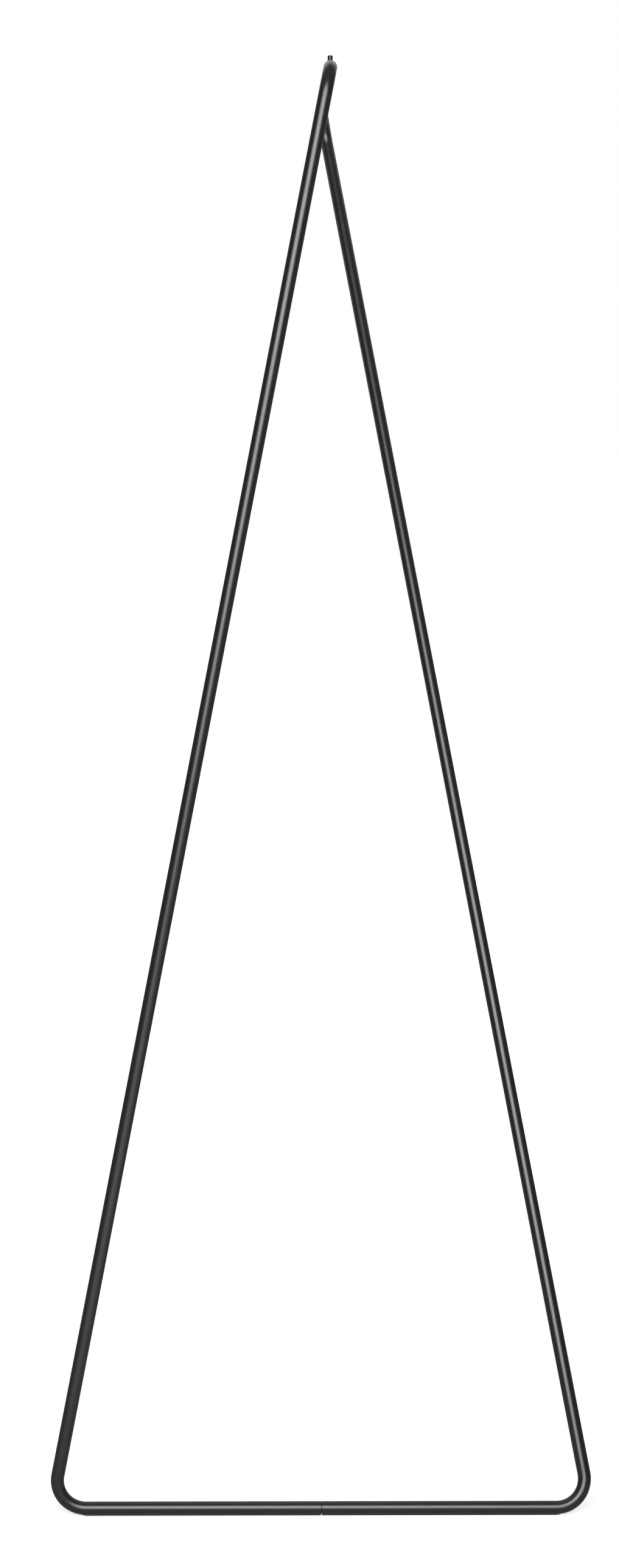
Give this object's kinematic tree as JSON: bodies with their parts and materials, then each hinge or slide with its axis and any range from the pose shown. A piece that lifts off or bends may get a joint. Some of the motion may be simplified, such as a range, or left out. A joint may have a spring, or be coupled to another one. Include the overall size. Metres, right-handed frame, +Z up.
{
  "type": "wall-leaning hanging stand",
  "caption": "Closed loop of bent black tube that leans on a wall: a floor bar, sloping legs and a level hanging rail with stop pins, plugged together on inner spigots.",
  "frame": {"origin": "middle of the stand's footprint, on the floor", "axes": "+X to the right along the floor bar, +Y along the hanging rail towards the wall, +Z up"},
  "size_m": [0.6618, 0.6256, 1.757],
  "materials": {
    "powder_coat": "satin black powder coat",
    "bare_steel": "drawn bright steel",
    "black_steel": "glossy black oxide",
    "zinc_steel": "zinc plated",
    "rubber": "matt black rubber"
  },
  "bodies": {
    "root": {"front_tube": "powder_coat", "rear_tube": "powder_coat", "base_spigot": "bare_steel", "rail_spigot": "bare_steel", "base_lock_screws": "black_steel", "rail_lock_screws": "black_steel", "front_pin_nut": "zinc_steel", "rear_pin_nut": "zinc_steel", "front_stop_pin": "black_steel", "rear_stop_pin": "black_steel", "left_base_strip": "rubber", "right_base_strip": "rubber", "wall_buffer": "rubber"}
  },
  "joints": []
}
